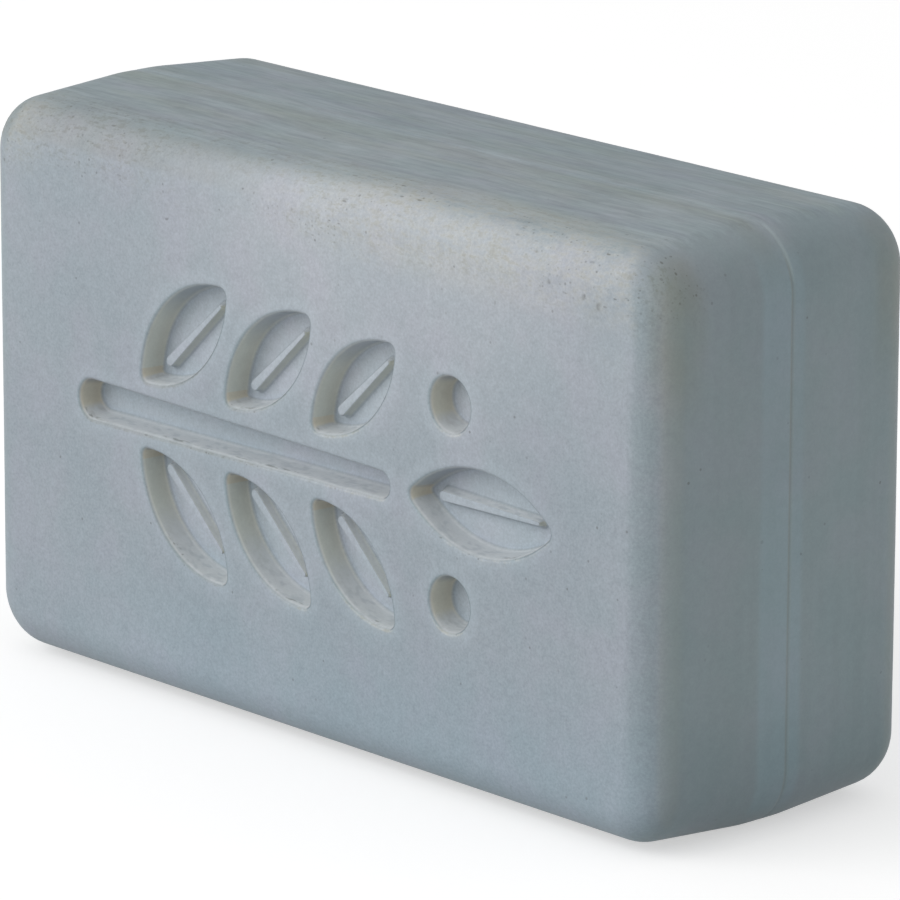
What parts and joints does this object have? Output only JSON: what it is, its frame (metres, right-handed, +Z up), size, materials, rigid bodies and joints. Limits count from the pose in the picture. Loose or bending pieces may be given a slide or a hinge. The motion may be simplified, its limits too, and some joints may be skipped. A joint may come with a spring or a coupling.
{
  "type": "bar of soap",
  "caption": "Rectangular pressed bar of soap with soft edges, a fine seam round its middle and a leaf sprig sunk into its front face.",
  "frame": {"origin": "middle of the bar's underside, on the ground, below the seam", "axes": "+Z up, +X along the bar's length, -Y toward the stamped front face"},
  "size_m": [0.084, 0.029, 0.0498],
  "materials": {
    "soap": "dry pressed soap, matt with a faint waxy sheen"
  },
  "bodies": {
    "root": {"soap_bar": "soap"}
  },
  "joints": []
}
